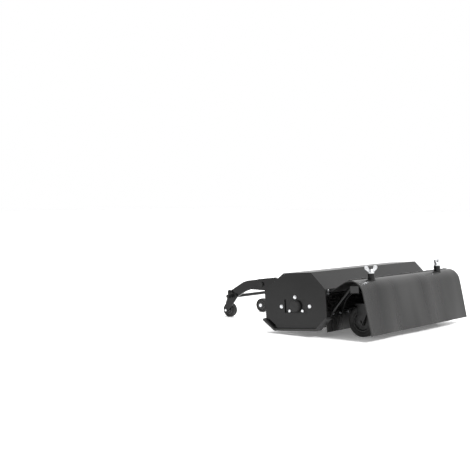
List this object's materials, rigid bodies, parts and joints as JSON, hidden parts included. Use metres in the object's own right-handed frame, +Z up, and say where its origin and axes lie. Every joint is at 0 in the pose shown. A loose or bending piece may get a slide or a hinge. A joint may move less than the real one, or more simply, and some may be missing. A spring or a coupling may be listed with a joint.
{
  "type": "lawn sweeper",
  "caption": "Front-mounted rotary sweeper deck with a bristle rotor, curved rubber flap, height-adjustable swivel casters and two pivoting hitch arms with small parking wheels",
  "frame": {"origin": "On the ground under the middle of the whole machine's bounding box, parked on its four wheels", "axes": "+X forward, towards the flap, and the longest side; +Y the machine's left, along the hitch pins; +Z up"},
  "size_m": [1.1834, 1.028, 0.3493],
  "materials": {
    "powder_coat": "satin black powder coat",
    "skid_steel": "black paint, rubbed along its edge",
    "zinc_steel": "bright zinc plate",
    "black_steel": "black oxide",
    "flap_rubber": "smooth fabric-backed rubber sheet",
    "cast_black": "black painted casting",
    "pulley_iron": "turned iron",
    "bristle": "dense synthetic bristle",
    "tyre_rubber": "solid black rubber",
    "black_plastic": "moulded nylon",
    "grey_plastic": "moulded nylon"
  },
  "bodies": {
    "deck": {"housing_shell": "powder_coat", "right_end_plate": "powder_coat", "left_end_plate": "powder_coat", "right_skid": "skid_steel", "left_skid": "skid_steel", "bearing_carrier": "powder_coat", "right_bearing": "cast_black", "left_bearings": "cast_black", "bearing_bolts": "zinc_steel", "drive_bulkhead": "powder_coat", "lower_bar": "powder_coat", "curtain": "flap_rubber", "bar_bolts": "zinc_steel", "front_beam": "powder_coat", "beam_arms": "powder_coat", "struts": "powder_coat", "guide_tubes": "powder_coat", "bridge_plate": "powder_coat", "flap_top": "flap_rubber", "clamp_bar": "powder_coat", "clamp_bolts": "black_steel", "right_bracket": "powder_coat", "left_bracket": "powder_coat", "pivot_bolts": "black_steel", "gearbox_case": "cast_black", "gearbox_lid": "cast_black", "drive_case": "powder_coat", "drive_belt": "flap_rubber"},
    "flap": {"flap_skirt": "flap_rubber"},
    "hitch": {"right_arm": "powder_coat", "left_arm": "powder_coat", "right_leg": "powder_coat", "left_leg": "powder_coat", "cross_tube": "powder_coat", "leg_bolts": "black_steel", "hitch_pins": "black_steel", "parking_axles": "zinc_steel"},
    "rotor": {"rotor_shaft": "zinc_steel", "brush": "bristle", "rotor_pulley": "pulley_iron"},
    "cross_drive": {"cross_shaft": "zinc_steel", "belt_pulley": "pulley_iron"},
    "input_drive": {"input_shaft": "zinc_steel", "input_pulley": "pulley_iron"},
    "right_carriage": {"right_thrust_bearing": "zinc_steel"},
    "right_screw": {"right_wing_screw": "zinc_steel"},
    "right_caster": {"right_fork": "powder_coat", "right_caster_axle": "black_steel"},
    "right_caster_wheel": {"right_caster_tyre": "tyre_rubber", "right_caster_hub": "black_plastic"},
    "right_parking_wheel": {"right_parking_tyre": "tyre_rubber", "right_parking_hub": "grey_plastic"},
    "left_carriage": {"left_thrust_bearing": "zinc_steel"},
    "left_screw": {"left_wing_screw": "zinc_steel"},
    "left_caster": {"left_fork": "powder_coat", "left_caster_axle": "black_steel"},
    "left_caster_wheel": {"left_caster_tyre": "tyre_rubber", "left_caster_hub": "black_plastic"},
    "left_parking_wheel": {"left_parking_tyre": "tyre_rubber", "left_parking_hub": "grey_plastic"}
  },
  "joints": [
    {"name": "rotor_spin", "type": "hinge", "parent": "deck", "child": "rotor", "pos_m": [0.16352, 0, 0.142], "axis": [0, 1, 0], "continuous": true},
    {"name": "cross_spin", "type": "hinge", "parent": "deck", "child": "cross_drive", "pos_m": [-0.07374, 0, 0.12333], "axis": [0, 1, 0], "continuous": true},
    {"name": "input_spin", "type": "hinge", "parent": "deck", "child": "input_drive", "pos_m": [-0.07374, 0, 0.12333], "axis": [-0.0785, 0, 0.9969], "continuous": true},
    {"name": "flap_hinge", "type": "hinge", "parent": "deck", "child": "flap", "pos_m": [0.51189, 0, 0.26788], "axis": [0, -1, 0], "range_deg": [0, 60], "stiffness_Nm_per_rad": 4},
    {"name": "hitch_pivot", "type": "hinge", "parent": "deck", "child": "hitch", "pos_m": [-0.29745, 0, 0.20001], "axis": [0, 1, 0], "range_deg": [-20, 0]},
    {"name": "right_height", "type": "slide", "parent": "deck", "child": "right_carriage", "axis": [-0.0785, 0, 0.9969], "range_m": [0, 0.025]},
    {"name": "right_screw_turn", "type": "hinge", "parent": "right_carriage", "child": "right_screw", "pos_m": [0.49079, -0.325, 0.22794], "axis": [-0.0785, 0, 0.9969], "range_deg": [0, 1800]},
    {"name": "right_swivel", "type": "hinge", "parent": "right_carriage", "child": "right_caster", "pos_m": [0.4955, -0.325, 0.16813], "axis": [-0.0785, 0, 0.9969], "range_deg": [-100, 100]},
    {"name": "right_caster_spin", "type": "hinge", "parent": "right_caster", "child": "right_caster_wheel", "pos_m": [0.44665, -0.325, 0.075], "axis": [0, 1, 0], "continuous": true},
    {"name": "right_parking_spin", "type": "hinge", "parent": "hitch", "child": "right_parking_wheel", "pos_m": [-0.55168, -0.147, 0.04], "axis": [0, 1, 0], "continuous": true},
    {"name": "left_height", "type": "slide", "parent": "deck", "child": "left_carriage", "axis": [-0.0785, 0, 0.9969], "range_m": [0, 0.025]},
    {"name": "left_screw_turn", "type": "hinge", "parent": "left_carriage", "child": "left_screw", "pos_m": [0.49079, 0.325, 0.22794], "axis": [-0.0785, 0, 0.9969], "range_deg": [0, 1800]},
    {"name": "left_swivel", "type": "hinge", "parent": "left_carriage", "child": "left_caster", "pos_m": [0.4955, 0.325, 0.16813], "axis": [-0.0785, 0, 0.9969], "range_deg": [-100, 100]},
    {"name": "left_caster_spin", "type": "hinge", "parent": "left_caster", "child": "left_caster_wheel", "pos_m": [0.44665, 0.325, 0.075], "axis": [0, 1, 0], "continuous": true},
    {"name": "left_parking_spin", "type": "hinge", "parent": "hitch", "child": "left_parking_wheel", "pos_m": [-0.55168, 0.147, 0.04], "axis": [0, 1, 0], "continuous": true}
  ],
  "couplings": [
    {"joint": "cross_spin", "follows": "rotor_spin", "ratio": 1.4},
    {"joint": "input_spin", "follows": "rotor_spin", "ratio": -1.4},
    {"joint": "right_screw_turn", "follows": "right_height", "rad_per_m": 1256.6},
    {"joint": "left_screw_turn", "follows": "left_height", "rad_per_m": 1256.6}
  ]
}
